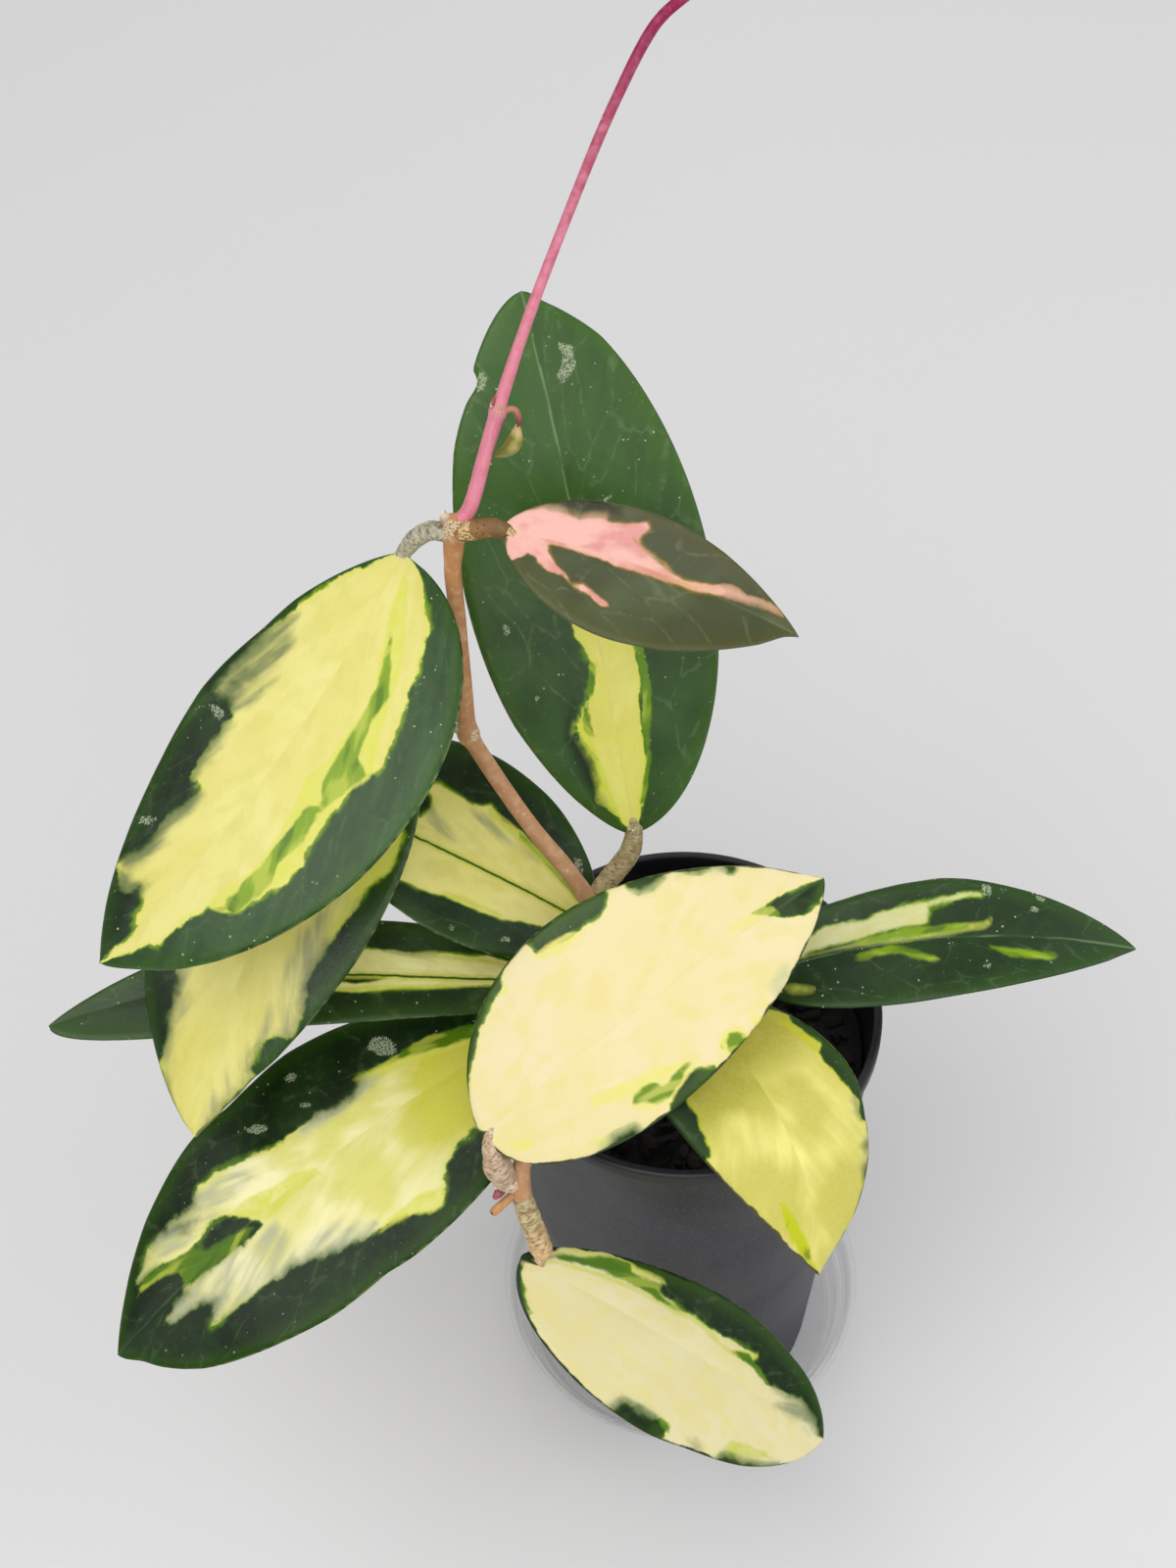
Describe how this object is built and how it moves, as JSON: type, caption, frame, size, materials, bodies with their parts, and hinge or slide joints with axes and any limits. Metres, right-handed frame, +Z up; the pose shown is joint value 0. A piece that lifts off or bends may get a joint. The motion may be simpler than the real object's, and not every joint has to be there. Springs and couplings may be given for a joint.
{
  "type": "potted variegated hoya verticillata",
  "caption": "Climbing houseplant with cream-splashed oval leaves, woody stems and one long pink shoot, in a tall black nursery pot on a clear saucer.",
  "frame": {"origin": "centre of the saucer's underside, on the surface it stands on", "axes": "+Z up; -Y is the front, towards which the low leaves hang; +X is to the right seen from the front"},
  "size_m": [0.2681, 0.1956, 0.3875],
  "materials": {
    "saucer": "gloss",
    "pot": "satin",
    "potting_mix": "matte",
    "bark": "matte",
    "shoot": "satin",
    "leaf_splash": "satin",
    "leaf_green": "satin",
    "leaf_pink": "satin",
    "leaf_cream": "satin",
    "leaf_yellow": "satin"
  },
  "bodies": {
    "root": {"saucer": "saucer", "pot": "pot", "potting_mix": "potting_mix", "vine_stem": "bark", "front_stem": "bark", "new_shoot": "shoot", "leaf_upper_left": "leaf_splash", "leaf_upright_back": "leaf_green", "leaf_young_pink": "leaf_pink", "leaf_left_behind": "leaf_splash", "leaf_behind_stem": "leaf_splash", "leaf_far_left": "leaf_green", "leaf_lower_left": "leaf_splash", "leaf_centre": "leaf_cream", "leaf_right": "leaf_green", "leaf_lower_right": "leaf_yellow", "leaf_bottom": "leaf_cream", "leaflet_curled": "leaf_pink"}
  },
  "joints": []
}
